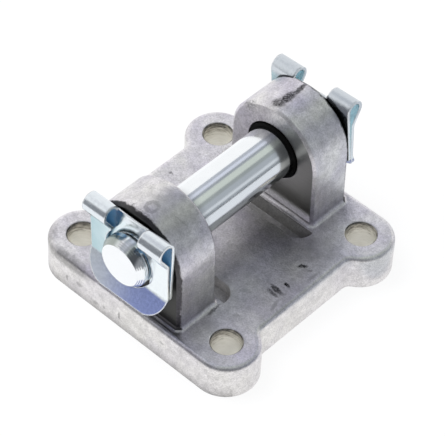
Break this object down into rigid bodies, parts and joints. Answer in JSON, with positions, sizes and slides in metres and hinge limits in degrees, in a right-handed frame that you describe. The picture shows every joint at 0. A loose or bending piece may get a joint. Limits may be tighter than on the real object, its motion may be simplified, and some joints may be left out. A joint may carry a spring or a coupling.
{
  "type": "swivel flange",
  "caption": "Square cast clevis flange with two round-topped ears, a pivot pin across them in plain bushes, and folded spring clips on the pin's ends.",
  "frame": {"origin": "middle of the square face that is bolted on, on the axis of the pilot recess", "axes": "+Z from the bolted face towards the pin, +Y along the pin, +X across the ears"},
  "size_m": [0.0764, 0.0836, 0.0481],
  "materials": {
    "casting": "die-cast and tumbled, with milled inner ear faces",
    "pin_steel": "ground and polished",
    "clip_steel": "bright zinc plating with a bluish passivation",
    "bush": "plain black bearing material"
  },
  "bodies": {
    "flange": {"flange_body": "casting", "bush_front": "bush", "bush_rear": "bush"},
    "pin": {"pivot_pin": "pin_steel"},
    "front_clip": {"clip_front": "clip_steel"},
    "rear_clip": {"clip_rear": "clip_steel"}
  },
  "joints": [
    {"name": "pin_spin", "type": "hinge", "parent": "flange", "child": "pin", "pos_m": [0, 0, 0.032], "axis": [0, 1, 0], "continuous": true},
    {"name": "front_clip_turn", "type": "hinge", "parent": "flange", "child": "front_clip", "pos_m": [0, -0.036, 0.032], "axis": [0, 1, 0], "range_deg": [-112, 116]},
    {"name": "rear_clip_turn", "type": "hinge", "parent": "flange", "child": "rear_clip", "pos_m": [0, 0.036, 0.032], "axis": [0, 1, 0], "range_deg": [-110, 116]}
  ]
}
